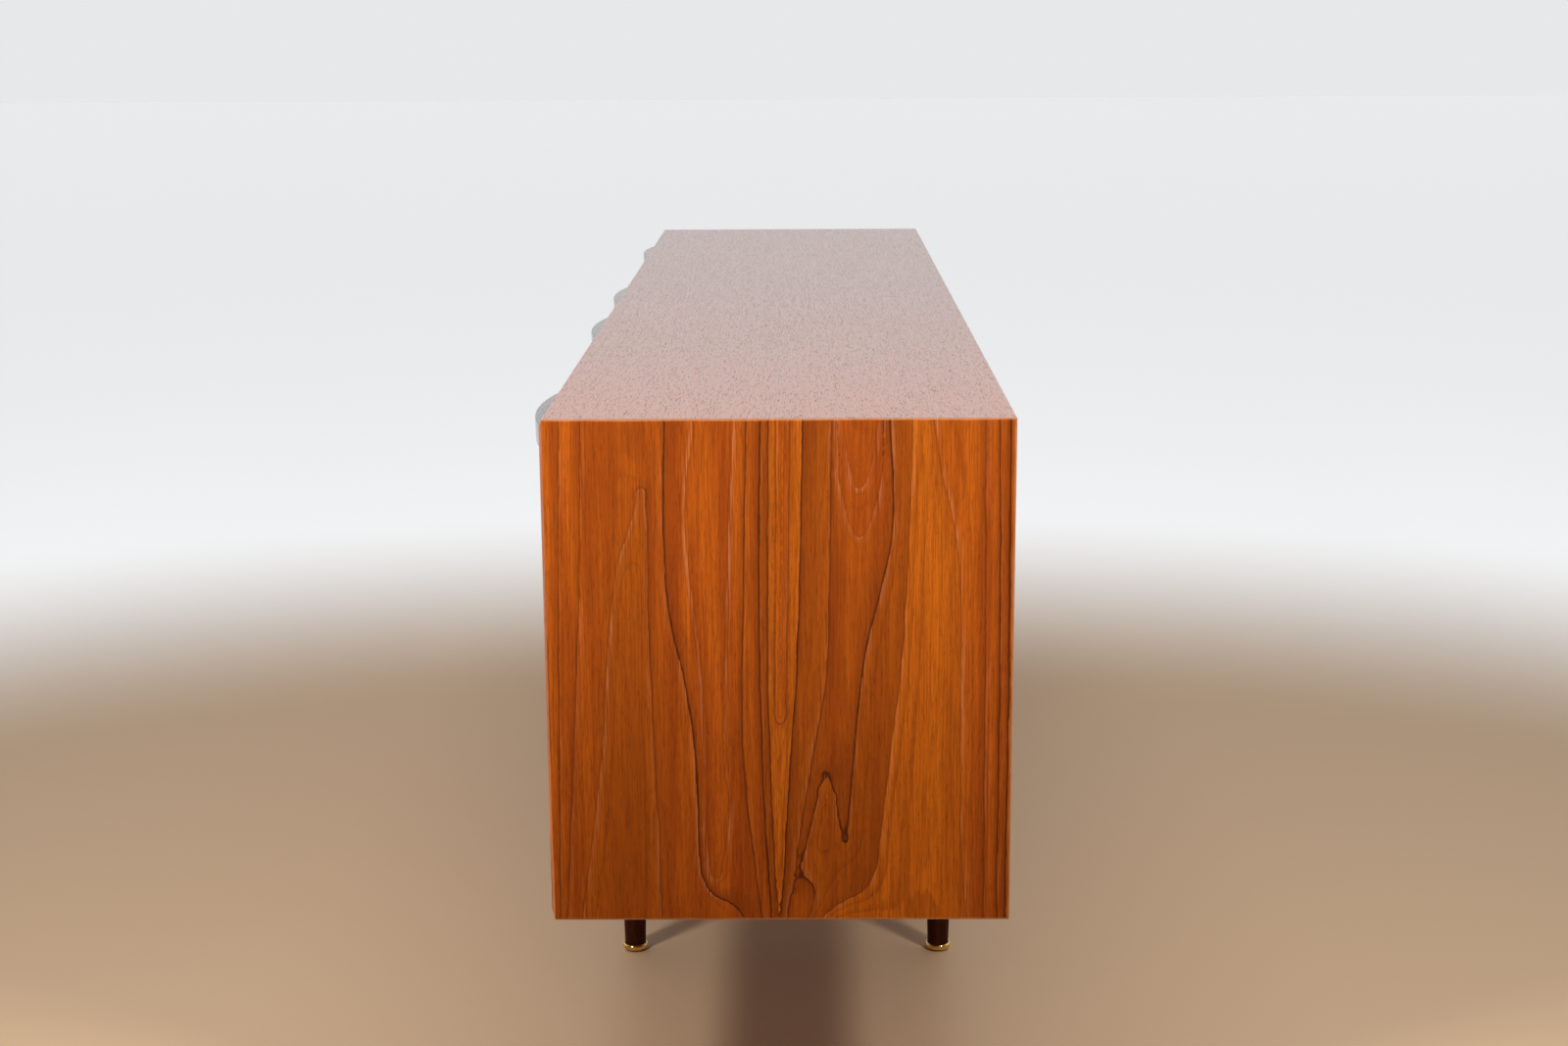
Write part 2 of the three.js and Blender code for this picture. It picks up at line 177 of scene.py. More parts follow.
def new_group(name, inputs, outputs):
    """An empty shader group. inputs maps a name to its default and outputs to its kind."""
    tree = bpy.data.node_groups.new(name, "ShaderNodeTree")
    for key, default in inputs.items():
        kind = "NodeSocketVector" if isinstance(default, tuple) else "NodeSocketFloat"
        tree.interface.new_socket(key, in_out="INPUT", socket_type=kind).default_value = default
    for key, kind in outputs.items():
        tree.interface.new_socket(key, in_out="OUTPUT", socket_type=kind)
    given, result = tree.nodes.new("NodeGroupInput"), tree.nodes.new("NodeGroupOutput")
    return Graph(tree), given.outputs, result.inputs


print("shader helpers ready")

# %% [markdown]
# ## How veneer gets its figure
# A tree lays down one ring a year. A knife that slices the log cuts through the
# rings, and the lines on the leaf are where it crossed them. So every veneer here
# starts from one number, the ring number at each point, and the finish is worked out
# from it: the wood darkens towards the end of a ring, stops at a thin dark line, and
# starts again with a streak of open pores.
#
# This first group gives the ring number in a straight sawn board. It measures the
# distance from the pith and divides it by the width of a ring. Pith says where across
# the board the pith lies, Depth shifts it through the board, Taper slants it along the
# board, and Wander lets its line stray a little.

# %% Growth rings in a sawn board
graph, given, result = new_group(
    "growth_rings",
    {"Place": (0.0, 0.0, 0.0), "Pith": 0.0, "Depth": 0.05, "Taper": 0.0, "Spacing": 0.01,
     "Wander": 0.02, "Seed": 0.0},
    {"Ring": "NodeSocketFloat"},
)
along, across, through = graph.split(given["Place"])
slow = graph.join(graph.math("MULTIPLY", along, 1.6), graph.math("MULTIPLY", across, 4.0), given["Seed"])
bend = graph.math("MULTIPLY", graph.math("SUBTRACT", graph.noise(slow, 1.0, 2.0), 0.5), given["Wander"])
lift = graph.math("MULTIPLY", graph.math("SUBTRACT", graph.noise(slow, 2.3, 1.0), 0.5), given["Wander"])
aside = graph.math("ADD", graph.math("SUBTRACT", across, given["Pith"]), graph.math("MULTIPLY", bend, 2.0))
below = graph.math("ADD", graph.math("ADD", given["Depth"], through),
                   graph.math("ADD", graph.math("MULTIPLY", along, given["Taper"]), lift))
radius = graph.vector("LENGTH", graph.join(aside, below, 0.0))
graph.feed(result["Ring"], graph.math("DIVIDE", radius, given["Spacing"]))
print("group growth_rings")

# %% [markdown]
# The second group turns a ring number into what the eye sees. Line is the thin dark
# line at the end of a ring, Shade the slow darkening before it, and Early the band of
# open pores after it. Strength comes from a random number for each line, because no
# two years were alike. A ring is also cut in fifths, which Shade darkens by random
# amounts, as dry and wet months do. Band is one random number for the whole ring.
# Streak, Fibre and Pore are noise stretched along the grain: hand wide, thread thin,
# and the short dashes of the cut vessels. Ring Width, in metres, keeps a line as thin
# in a wide ring as it is in a narrow one.

# %% What a veneer shows
graph, given, result = new_group(
    "veneer_figure",
    {"Place": (0.0, 0.0, 0.0), "Ring": 0.0, "Ring Width": 0.01, "Dark": 1.0, "Pale": 1.0,
     "Chance": 1.0, "Seed": 0.0},
    {name: "NodeSocketFloat" for name in ("Line", "Shade", "Early", "Band", "Streak", "Fibre", "Pore")},
)
RAGGED, LINE_WIDTH, LINE_BACK = 2.2 * MM, 2.4 * MM, 0.6 * MM
EARLY_WIDTH, FEATHER, INNER_LINES = 6 * MM, 10 * MM, 5.0
LINE_CORE, EARLY_CORE = 0.2 * MM, 0.4 * MM


def stretched(graph, place, along, across):
    """Place with its three directions scaled, so that noise on it runs along the grain."""
    return graph.vector("MULTIPLY", place, (along, across, across))


jags = graph.noise(stretched(graph, given["Place"], 22.0, 150.0), 1.0, 5.0, 0.6)
jag_depth = graph.math("MULTIPLY", graph.math("SUBTRACT", jags, 0.5), RAGGED * 2)
ring = graph.math("ADD", given["Ring"], graph.math("DIVIDE", jag_depth, given["Ring Width"]))
part = graph.math("FRACT", ring)
number = graph.math("ADD", graph.math("FLOOR", ring), given["Seed"])
to_line = graph.math("MULTIPLY", graph.math("SUBTRACT", 1.0, part), given["Ring Width"])
past_line = graph.math("MULTIPLY", part, given["Ring Width"])


def strength(graph, given, kind, line_number, low, high):
    """How strongly a line shows: the given amount, or, as Chance goes to 1, a random share of it."""
    random = graph.ramp(graph.chance(line_number), low, high, 0.15)
    share = graph.math("ADD", graph.math("SUBTRACT", 1.0, given["Chance"]),
                       graph.math("MULTIPLY", given["Chance"], random))
    return graph.math("MULTIPLY", given[kind], share)


dark_ahead = strength(graph, given, "Dark", graph.math("ADD", number, 1.0), 0.1, 0.7)
dark_behind = strength(graph, given, "Dark", number, 0.1, 0.7)
pale_behind = strength(graph, given, "Pale", number, 0.3, 0.9)
ahead = graph.math("MULTIPLY", graph.ramp(to_line, LINE_WIDTH, LINE_CORE), dark_ahead)
behind = graph.math("MULTIPLY", graph.ramp(past_line, LINE_BACK, 0.0), dark_behind)
graph.feed(result["Line"], graph.math("MAXIMUM", ahead, behind))
slope = graph.math("MULTIPLY", graph.ramp(part, 0.35, 1.0), graph.ramp(dark_ahead, 0.0, 1.0, 0.25))
feather = graph.math("MULTIPLY", graph.ramp(to_line, FEATHER, 0.0), dark_ahead)
fifths = graph.math("MULTIPLY", ring, INNER_LINES)
inner_chance = graph.chance(graph.math("ADD", graph.math("FLOOR", fifths), 0.71))
inner = graph.math("MULTIPLY", graph.ramp(graph.math("FRACT", fifths), 0.4, 1.0),
                   graph.ramp(inner_chance, 0.2, 1.0, 0.1, 0.75))
graph.feed(result["Shade"], graph.math("MAXIMUM", graph.math("MAXIMUM", slope, feather), inner))
patches = graph.ramp(graph.noise(stretched(graph, given["Place"], 11.0, 60.0), 1.0, 3.0), 0.38, 0.58, 0.1)
early = graph.math("MULTIPLY", graph.ramp(past_line, EARLY_WIDTH, EARLY_CORE), pale_behind)
graph.feed(result["Early"], graph.math("MULTIPLY", early, patches))
graph.feed(result["Band"], graph.chance(graph.math("ADD", number, 0.37)))
graph.feed(result["Streak"], graph.noise(stretched(graph, given["Place"], 2.2, 70.0), 1.0, 4.0, 0.62))
graph.feed(result["Fibre"], graph.noise(stretched(graph, given["Place"], 16.0, 620.0), 1.0, 3.0, 0.6))
dashes = graph.noise(stretched(graph, given["Place"], 85.0, 1150.0), 1.0, 1.0)
graph.feed(result["Pore"], graph.ramp(dashes, 0.56, 0.68))
print("group veneer_figure")

# %% [markdown]
# The third group is the pale tone on a board's arrises. It is partly the wear that
# polishing and years leave there, where the colour thins, and partly a painted
# highlight, the pale line that a rounded arris mirrors. On a box, the distance to the
# nearest edge is the middle one of the three distances to its faces, because the
# smallest one is nought on a face.

# %% Worn arrises and painted highlight
graph, given, result = new_group(
    "arris_wear_and_highlight",
    {"Place": (0.0, 0.0, 0.0), "Low": (0.0, 0.0, 0.0), "High": (1.0, 1.0, 1.0), "Reach": 0.002},
    {"Wear and Highlight": "NodeSocketFloat"},
)
near_low = graph.vector("ABSOLUTE", graph.vector("SUBTRACT", given["Place"], given["Low"]))
near_high = graph.vector("ABSOLUTE", graph.vector("SUBTRACT", given["High"], given["Place"]))
a, b, c = graph.split(graph.vector("MINIMUM", near_low, near_high))
lesser, greater = graph.math("MINIMUM", a, b), graph.math("MAXIMUM", a, b)
edge = graph.math("MAXIMUM", lesser, graph.math("MINIMUM", greater, c))
patchy = graph.math("MULTIPLY", graph.noise(given["Place"], 40.0, 3.0), given["Reach"])
graph.feed(result["Wear and Highlight"], graph.ramp(graph.math("SUBTRACT", edge, patchy), given["Reach"], 0.0))
print("group arris_wear_and_highlight")

# %% [markdown]
# ## Oiled teak
# Teak under oil and years of light is a deep orange brown, with almost no blue in it.
# The tones are mixed in the order in which the eye finds them: two browns in broad
# streaks, an olive brown or a gold in some of the rings, the darkening before a line,
# the line itself, the pale pores after it, and last a paler tone on the arrises, partly
# the wear of years and partly a painted highlight. All the teak shares this recipe, and
# each board turns the grain its own way and has its own pith. A board may also have a
# coat of polish. It is thinner over the open pores, so at a low angle they show as dark
# flecks in what the polish mirrors.

# %% Teak
TEAK = {
    "warm": (0.56, 0.118, 0.0072, 1),
    "rust": (0.38, 0.066, 0.005, 1),
    "gold": (0.70, 0.175, 0.008, 1),
    "olive": (0.34, 0.080, 0.0036, 1),
    "late": (0.21, 0.038, 0.004, 1),
    "line": (0.070, 0.014, 0.003, 1),
    "early": (0.58, 0.21, 0.085, 1),
    "pore": (0.13, 0.028, 0.006, 1),
    "worn_and_highlight": (0.72, 0.34, 0.15, 1),
}
# The arris reach sets how far the pale arris tone spreads: partly wear, partly painted highlight.
ARRIS_WEAR_AND_HIGHLIGHT, OPEN_PORE, COAT_ROUGHNESS = 1.6 * MM, 0.6, 0.22
TURNS = {"X": (0, 1, 2), "Y": (1, 0, 2), "Z across Y": (2, 1, 0), "Z across X": (2, 0, 1),
         "X across Z": (0, 2, 1)}


def blank_material(name, roughness, specular=0.5, metallic=0.0, **constants):
    """A new material with one Principled shader. Gives the material, its graph and the shader.
    Constants are values for further sockets, with _ for each space in a socket's name."""
    material = bpy.data.materials.new(name)
    material.use_nodes = True
    graph = Graph(material.node_tree)
    shader = next(node for node in material.node_tree.nodes if node.type == "BSDF_PRINCIPLED")
    settings = {"Roughness": roughness, "Specular_IOR_Level": specular, "Metallic": metallic, **constants}
    for socket, value in settings.items():
        shader.inputs[socket.replace("_", " ")].default_value = value
    return material, graph, shader


def add_bump(graph, shader, height, depth):
    """Feeds the shader's normal from a height of 0 to 1 that stands for this depth in metres."""
    bump = graph.tree.nodes.new("ShaderNodeBump")
    graph.feed(bump.inputs["Height"], height)
    bump.inputs["Distance"].default_value = depth
    graph.feed(shader.inputs["Normal"], bump.outputs["Normal"])


def turned_place(graph, turn):
    """Object coordinates in the order along, across and through the grain."""
    place = graph.make("ShaderNodeTexCoord").outputs["Object"]
    axes = graph.split(place)
    return place, graph.join(*[axes[index] for index in TURNS[turn]])


def add_teak_colour(graph, figure, wear_and_highlight, tones=TEAK, pore_share=0.35, early_share=0.75,
                    ring_share=1.0):
    """The teak recipe above, as one colour."""
    colour = graph.mix(graph.ramp(figure["Streak"], 0.34, 0.66), tones["rust"], tones["warm"])
    colour = graph.mix(graph.ramp(figure["Band"], 0.45, 1.0, 0.0, 0.5 * ring_share), colour, tones["olive"])
    colour = graph.mix(graph.ramp(figure["Band"], 0.45, 0.0, 0.0, 0.6 * ring_share), colour, tones["gold"])
    colour = graph.mix(graph.math("MULTIPLY", figure["Shade"], 0.6 * ring_share), colour, tones["late"])
    colour = graph.mix(graph.ramp(figure["Fibre"], 0.62, 0.36, 0.0, 0.42), colour, tones["late"])
    colour = graph.mix(graph.math("MULTIPLY", figure["Line"], 0.95 * ring_share), colour, tones["line"])
    colour = graph.mix(graph.math("MULTIPLY", figure["Pore"], pore_share), colour, tones["pore"])
    broken = graph.ramp(figure["Fibre"], 0.42, 0.6)
    pale = graph.math("MULTIPLY", graph.math("MULTIPLY", figure["Early"], broken), early_share)
    colour = graph.mix(pale, colour, tones["early"])
    # Wear and painted highlight: the arrises are mixed towards a pale tone, partly real wear and partly the
    # pale line a rounded arris mirrors.
    return graph.mix(graph.math("MULTIPLY", wear_and_highlight, 0.5), colour, tones["worn_and_highlight"])


def add_teak_surface(graph, shader, figure, low_gloss, high_gloss, depth):
    """Roughness and relief: pores are dull and sunk, and fibres catch the light."""
    rough = graph.ramp(figure["Fibre"], 0.3, 0.7, low_gloss, high_gloss)
    graph.feed(shader.inputs["Roughness"],
               graph.math("ADD", rough, graph.math("MULTIPLY", figure["Pore"], 0.2)))
    sunk = graph.math("SUBTRACT", graph.math("MULTIPLY", figure["Fibre"], 0.45), figure["Pore"])
    add_bump(graph, shader, sunk, depth)


def deeper(tones, share):
    """The same tones, with only this share of their brightness left."""
    return {key: (*[share * value for value in tone[:3]], 1) for key, tone in tones.items()}


def teak_board(name, node, turn, pith, depth, taper=0.0, spacing=0.012, wander=0.03, seed=0.0,
               specular=0.5, gloss=(0.34, 0.5), relief=0.12 * MM, coat=0.0, **shares):
    """Teak for one board, with its own pith line and the box that its pale arrises, partly rubbed and partly
    painted highlight, are measured in.
    """
    low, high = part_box(node)
    material, graph, shader = blank_material(name, gloss[0], specular, Coat_Weight=coat,
                                             Coat_Roughness=COAT_ROUGHNESS)
    place, grain = turned_place(graph, turn)
    ring = graph.group("growth_rings", Place=grain, Pith=pith, Depth=depth, Taper=taper,
                       Spacing=spacing, Wander=wander, Seed=seed)["Ring"]
    figure = graph.group("veneer_figure", Place=grain, Ring=ring, Ring_Width=spacing, Seed=seed)
    wear_and_highlight = graph.group("arris_wear_and_highlight", Place=place, Low=tuple(low), High=tuple(high), Reach=ARRIS_WEAR_AND_HIGHLIGHT)["Wear and Highlight"]
    graph.feed(shader.inputs["Base Color"], add_teak_colour(graph, figure, wear_and_highlight, **shares))
    add_teak_surface(graph, shader, figure, *gloss, relief)
    if coat:
        thinned = graph.ramp(figure["Pore"], 0.0, 1.0, coat, OPEN_PORE * coat)
        graph.feed(shader.inputs["Coat Weight"], thinned)
    return material


print("teak tones:", ", ".join(TEAK))

# %% [markdown]
# ## Giving the boards their finish
# The boards keep the shape that the joinery gave them, and only need arrises that
# catch the light, because no real board has a perfectly sharp one. Their meshes come
# in as loose triangles, so three modifiers work in turn: Weld joins the triangles,
# Decimate in its planar mode clears the flat faces of inner edges, and Bevel rounds
# what is left.

# %% Dress a board
ARRIS = 0.6 * MM


def dress(node, material, radius=ARRIS, segments=2):
    """Gives a joinery piece its material and, if radius isn't nought, soft arrises."""
    piece = NODES[node]
    piece.data.materials.clear()
    piece.data.materials.append(material)
    if radius:
        piece.modifiers.new("weld", "WELD").merge_threshold = 0.01 * MM
        flat = piece.modifiers.new("flat", "DECIMATE")
        flat.decimate_type, flat.angle_limit = "DISSOLVE", math.radians(1)
        bevel = piece.modifiers.new("arris", "BEVEL")
        bevel.width, bevel.segments, bevel.limit_method = radius, segments, "ANGLE"
        bevel.angle_limit = math.radians(30)
    return piece


print("arris radius", round(ARRIS / MM, 2), "mm")

# %% [markdown]
# ## The case
# Four boards mitred at the corners: the long top with its grain running lengthways,
# the bottom, and two ends with upright grain. The top has open pores and a satin
# polish, so at a low angle it mirrors the pale room. Its leaves are chosen for an even
# colour, so its streaks and rings share one tone. The inside is quieter veneer.

# %% Case boards
TOP_GLOSS, FRONT_GLOSS, INSIDE_GLOSS = (0.30, 0.42), (0.34, 0.48), (0.45, 0.6)
TOP_ARRIS = 1.1 * MM
EVEN = deeper(TEAK, 0.54)
for key in ("rust", "gold", "olive"):
    EVEN[key] = EVEN["warm"]
EVEN["late"] = deeper(TEAK, 0.34)["warm"]

top_teak = teak_board("teak_top", "top_panel", "X", pith=0.62, depth=0.03, taper=0.01, spacing=0.011,
                      wander=0.012, seed=3.0, specular=0.3, gloss=TOP_GLOSS, relief=0.1 * MM, coat=1.0,
                      tones=EVEN, pore_share=0.8, early_share=0.2, ring_share=0.1)
dress("top_panel", top_teak, TOP_ARRIS, 3)
bottom_teak = teak_board("teak_bottom", "bottom_panel", "X", pith=-0.5, depth=0.04, taper=0.01,
                         spacing=0.012, wander=0.05, seed=5.0, gloss=INSIDE_GLOSS)
dress("bottom_panel", bottom_teak)
for side, seed in (("left", 7.0), ("right", 9.0)):
    end, partition = f"{side}_end_panel", f"{side}_partition"
    end_teak = teak_board(f"teak_{side}_end", end, "Z across Y", pith=0.31, depth=0.05, taper=0.02,
                          spacing=0.011, wander=0.03, seed=seed, gloss=FRONT_GLOSS)
    dress(end, end_teak)
    inner_teak = teak_board(f"teak_{partition}", partition, "Z across Y", pith=-0.1, depth=0.06, taper=0.1,
                            spacing=0.013, wander=0.03, seed=seed + 20, gloss=INSIDE_GLOSS)
    dress(partition, inner_teak)
for shelf, seed in (("centre_shelf", 31.0), ("right_shelf", 37.0)):
    shelf_teak = teak_board(f"teak_{shelf}", shelf, "X", pith=0.1, depth=0.05, taper=0.03, spacing=0.012,
                            wander=0.03, seed=seed, gloss=INSIDE_GLOSS)
    dress(shelf, shelf_teak)
print("case boards dressed, the top's arrises rounded to", round(TOP_ARRIS / MM, 2), "mm")

# %% [markdown]
# ## The figured veneer on the ends
# The two ends are the show pieces: a leaf cut near the middle of the log, with tight
# straight lines down its centre and tall arches and loops on both sides. No single
# formula draws that, so it is drawn as a person would sketch it, with one stroke of a
# few points for each main line. Each stroke has its ring number. A thin plate is laid
# through all the points, as a bent steel spline is, and its height anywhere is the
# ring number there, so its contour lines are the figure.

# %% Strokes of the figure
# Ring number, darkness of the line, paleness of the pores after it, then points as (across, up) in
# millimetres. A stroke with neither dark nor pale isn't seen, and only lifts or lowers the plate.
STROKES = [
    (1, 0.5, 0.2, [(-196, 745), (-199, 616), (-203, 430), (-206, 238)]),
    (2, 0.45, 0.3, [(-175, 745), (-180, 568), (-188, 430), (-200, 238)]),
    (3, 0.15, 0.8, [(-120, 676), (-126, 650), (-147, 593), (-155, 504), (-161, 417), (-170, 345),
                    (-185, 238)]),
    (3, 0.5, 0.35, [(-115, 676), (-114, 640), (-115, 555), (-113, 462), (-108, 334), (-107, 238)]),
    (3.7, 0, 0, [(-128, 590), (-135, 480), (-138, 380), (-143, 238)]),
    (2.6, 0, 0, [(-119, 745), (-118, 690)]),
    (2.5, 0, 0, [(-90, 440), (-88, 340), (-86, 270)]),
    (2, 1, 0.7, [(-96, 745), (-100, 640), (-96, 550), (-80, 487), (-71, 417), (-69, 350), (-68, 290),
                 (-56, 264), (-38, 260), (-22, 238)]),
    (1, 0.15, 0.8, [(-67, 745), (-80, 655), (-74, 585), (-63, 500), (-60, 400), (-61, 328), (-59, 290),
                    (-53, 276), (-47, 290), (-40, 325), (-37, 365), (-43, 400), (-42, 460), (-41, 520),
                    (-36, 650), (-30, 745)]),
    (0.4, 0, 0, [(-48, 745), (-58, 650), (-56, 560), (-52, 460), (-50, 370), (-52, 310)]),
    (2, 0.7, 0.1, [(-18, 745), (-23, 560), (-25, 460), (-22, 370), (-14, 300), (-6, 238)]),
    (3, 1, 0.1, [(-5, 745), (-8, 552), (-5, 398), (-1, 310), (4, 238)]),
    (4, 0.7, 0.1, [(3, 745), (0, 500), (3, 360), (8, 238)]),
    (5, 0.5, 0.2, [(10, 745), (7, 450)]),
    (5.5, 0, 0, [(16, 745), (12, 450)]),
    (5, 0.5, 0.3, [(22, 745), (17, 450)]),
    (4, 0.9, 0.1, [(34, 745), (30, 520), (20, 392), (12, 238)]),
    (3, 0.6, 0.5, [(62, 745), (60, 600), (59, 490), (42, 405), (28, 315), (16, 238)]),
    (1, 0.1, 0.8, [(70, 745), (77, 705), (83, 680), (88, 669), (94, 680), (103, 705), (107, 745)]),
    (0.3, 0, 0, [(89, 745), (88, 705)]),
    (2, 0.15, 0.8, [(68, 690), (73, 660), (81, 635), (88, 625), (96, 635), (107, 665), (111, 700)]),
    (2.55, 0, 0, [(86, 580), (75, 500), (66, 440)]),
    (3, 1, 0.5, [(117, 745), (121, 690), (122, 645), (116, 600), (98, 533), (89, 475), (83, 398), (78, 340),
                 (73, 309), (69, 340), (63, 378), (57, 399), (51, 378), (43, 340), (33, 305), (27, 280),
                 (20, 262)]),
    (3.5, 0, 0, [(57, 370), (53, 320)]),
    (4, 0.3, 0.6, [(140, 745), (136, 600), (129, 488), (116, 385), (108, 300), (98, 272), (78, 262),
                   (60, 250), (50, 238)]),
    (4.4, 0.3, 0.2, [(148, 745), (152, 640), (150, 520), (140, 380), (136, 238)]),
    (5, 0.35, 0.75, [(159, 745), (166, 690), (179, 645), (188, 575), (187, 400), (190, 300), (195, 238)]),
    (6, 0.5, 0.3, [(208, 745), (211, 500), (212, 238)]),
    (7, 0.8, 0.2, [(222, 745), (225, 500), (225, 238)]),
    (8, 1, 0.3, [(232, 745), (234, 500), (233, 238)]),
]
SKETCH_UNIT, STEP, EASINGS, STIFFNESS = 100 * MM, 12, 3, 0.0003


def eased(stroke):
    """A stroke with its corners eased and its points STEP apart. Each easing puts two points on every
    piece of the line, a quarter and three quarters of the way along, and drops the corners."""
    line = np.array(stroke, float)
    for _ in range(EASINGS):
        first, last = line[:-1], line[1:]
        quarters = np.stack([0.75 * first + 0.25 * last, 0.25 * first + 0.75 * last], axis=1)
        line = np.concatenate([line[:1], quarters.reshape(-1, 2), line[-1:]])
    run = np.r_[0, np.cumsum(np.linalg.norm(np.diff(line, axis=0), axis=1))]
    stops = np.linspace(0, run[-1], max(2, int(run[-1] / STEP)))
    return np.c_[np.interp(stops, run, line[:, 0]), np.interp(stops, run, line[:, 1])]


def thin_plate(points, heights, places):
    """Heights at places of a thin plate through points: a tilted plane plus, for each point, a weight
    times d squared times the logarithm of d, where d is the distance to that point. The weights come from
    a set of linear equations. A little STIFFNESS lets the plate miss a point where strokes disagree."""

    def swell(distance):
        return distance ** 2 * np.log(np.maximum(distance, 1e-9))

    count = len(points)
    plane = np.c_[np.ones(count), points]
    between = swell(np.linalg.norm(points[:, None] - points[None], axis=2)) + STIFFNESS * np.eye(count)
    system = np.block([[between, plane], [plane.T, np.zeros((3, 3))]])
    weights = np.linalg.solve(system, np.r_[heights, np.zeros(3)])
    reach = swell(np.linalg.norm(places[:, None] - points[None], axis=2))
    return reach @ weights[:count] + np.c_[np.ones(len(places)), places] @ weights[count:]


lines = [eased(stroke) for *_, stroke in STROKES]
stroke_points = np.concatenate(lines) * MM / SKETCH_UNIT
stroke_values = np.repeat([row[:3] for row in STROKES], [len(line) for line in lines], axis=0)
print(len(STROKES), "strokes,", len(stroke_points), "points")

# %% [markdown]
# The leaf itself is a sheet 0.4 mm thick, glued on the end board. Its edge is rubbed
# over to a quarter round. It is a grid of points: close together at the rim, where
# the sheet curves, and 3 mm apart inside, where it only carries the ring number, the
# width of a ring, and the strength of the nearest stroke. The other end gets the same
# sketch on its own side, as two leaves cut one after the other from a log match.

# %% The leaves on the ends
LEAF, RIM_GAP, RUB, RIM_SINK, CELL = 0.4 * MM, 0.7 * MM, 0.5 * MM, 0.1, 3 * MM
NARROW_RING, WIDE_RING = 2 * MM, 60 * MM
LEAF_SEED, LEAF_SPECULAR, LEAF_GLOSS, LEAF_WEAR_AND_HIGHLIGHT = 248.0, 0.06, (0.42, 0.55), 1.8 * MM
# PAINTED_SHADE_TONE darkens the end leaves towards the bottom: painted shade, not a tone of the wood.
PAINTED_SHADE_TONE, UNSHADED_TOP_BAND = (0.72, 0.68, 0.55, 1), 100 * MM


def rim_spaced(low, high):
    """Places from low to high, crowded within a rub's width of both ends."""
    rim = RUB * (1 - np.cos(np.linspace(0, np.pi / 2, 5)))
    inner = np.linspace(low + RUB, high - RUB, int((high - low) / CELL))
    return np.r_[low + rim[:-1], inner, (high - rim[:-1])[::-1]]


def end_leaf(name, board, outward):
    """A veneer leaf on the outer face of an end board. With d the distance to the leaf's rim, and s the
    root of 1 - (1 - d / RUB) squared, or 1 where d is over RUB, its surface stands LEAF times (s - RIM_SINK)
    above the board. So the rim itself lies just inside the board, and no gap shows under it."""
    low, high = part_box(board)
    face = high.x if outward > 0 else low.x
    across = rim_spaced(ARRIS_Y + RIM_GAP, high.y - RIM_GAP)
    up = rim_spaced(low.z + RIM_GAP, high.z - RIM_GAP)
    y, z = np.meshgrid(across, up, indexing="ij")
    inset = np.minimum(np.minimum(y - across[0], across[-1] - y), np.minimum(z - up[0], up[-1] - z))
    share = np.clip(inset / RUB, 0, 1)
    x = face + outward * LEAF * (np.sqrt(1 - (1 - share) ** 2) - RIM_SINK)
    points = np.stack([x, y, z], axis=-1).reshape(-1, 3)
    index = np.arange(len(points)).reshape(y.shape)
    quads = np.stack([index[:-1, :-1], index[1:, :-1], index[1:, 1:], index[:-1, 1:]], axis=-1)
    rim = np.r_[index[0, :-1], index[:-1, -1], index[-1, :0:-1], index[:0:-1, 0]]
    faces = quads.reshape(-1, 4).tolist() + [rim.tolist()]
    if outward < 0:
        faces = [face[::-1] for face in faces]
    mesh = bpy.data.meshes.new(name)
    mesh.from_pydata(points.tolist(), [], faces)

    places = points[:, 1:] / SKETCH_UNIT
    ring = thin_plate(stroke_points, stroke_values[:, 0], places).reshape(y.shape)
    slopes = np.gradient(ring, across, up)
    width = np.clip(1 / np.maximum(np.hypot(*slopes), 1e-6), NARROW_RING, WIDE_RING)
    seen = stroke_values[:, 1:].any(axis=1)
    gaps = np.linalg.norm(places[:, None] - stroke_points[seen][None], axis=2)
    dark, pale = stroke_values[seen][gaps.argmin(axis=1), 1:].T
    for key, values in (("ring", ring), ("ring_width", width), ("dark", dark), ("pale", pale)):
        numbers = values.ravel().astype(np.float32)
        mesh.attributes.new(key, "FLOAT", "POINT").data.foreach_set("value", numbers)
    leaf = bpy.data.objects.new(name, mesh)
    bpy.context.scene.collection.objects.link(leaf)
    mesh.polygons.foreach_set("use_smooth", [True] * (len(faces) - 1) + [False])
    return leaf


def show_teak(name, node):
    """Teak whose ring number is drawn on the mesh instead of grown. Its colour is darkened
    towards the bottom as painted shade, below a band at the top that is left as it is."""
    low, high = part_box(node)
    material, graph, shader = blank_material(name, LEAF_GLOSS[0], LEAF_SPECULAR)
    place, grain = turned_place(graph, "Z across Y")
    ring, width, dark, pale = [graph.make("ShaderNodeAttribute", attribute_name=key).outputs["Fac"]
                               for key in ("ring", "ring_width", "dark", "pale")]
    figure = graph.group("veneer_figure", Place=grain, Ring=ring, Ring_Width=width, Dark=dark, Pale=pale,
                         Chance=0.0, Seed=LEAF_SEED)
    # The leaf's pale arrises are also partly wear and partly painted highlight.
    wear_and_highlight = graph.group("arris_wear_and_highlight", Place=place, Low=tuple(low), High=tuple(high), Reach=LEAF_WEAR_AND_HIGHLIGHT)["Wear and Highlight"]
    colour = add_teak_colour(graph, figure, wear_and_highlight)
    # Painted shade: the leaf's colour is multiplied darker from the top band down to the bottom.
    painted_shade_share = graph.ramp(graph.split(place)[2], high.z - UNSHADED_TOP_BAND, low.z)
    graph.feed(shader.inputs["Base Color"], graph.mix(painted_shade_share, colour, PAINTED_SHADE_TONE, "MULTIPLY"))
    add_teak_surface(graph, shader, figure, *LEAF_GLOSS, 0.1 * MM)
    return material


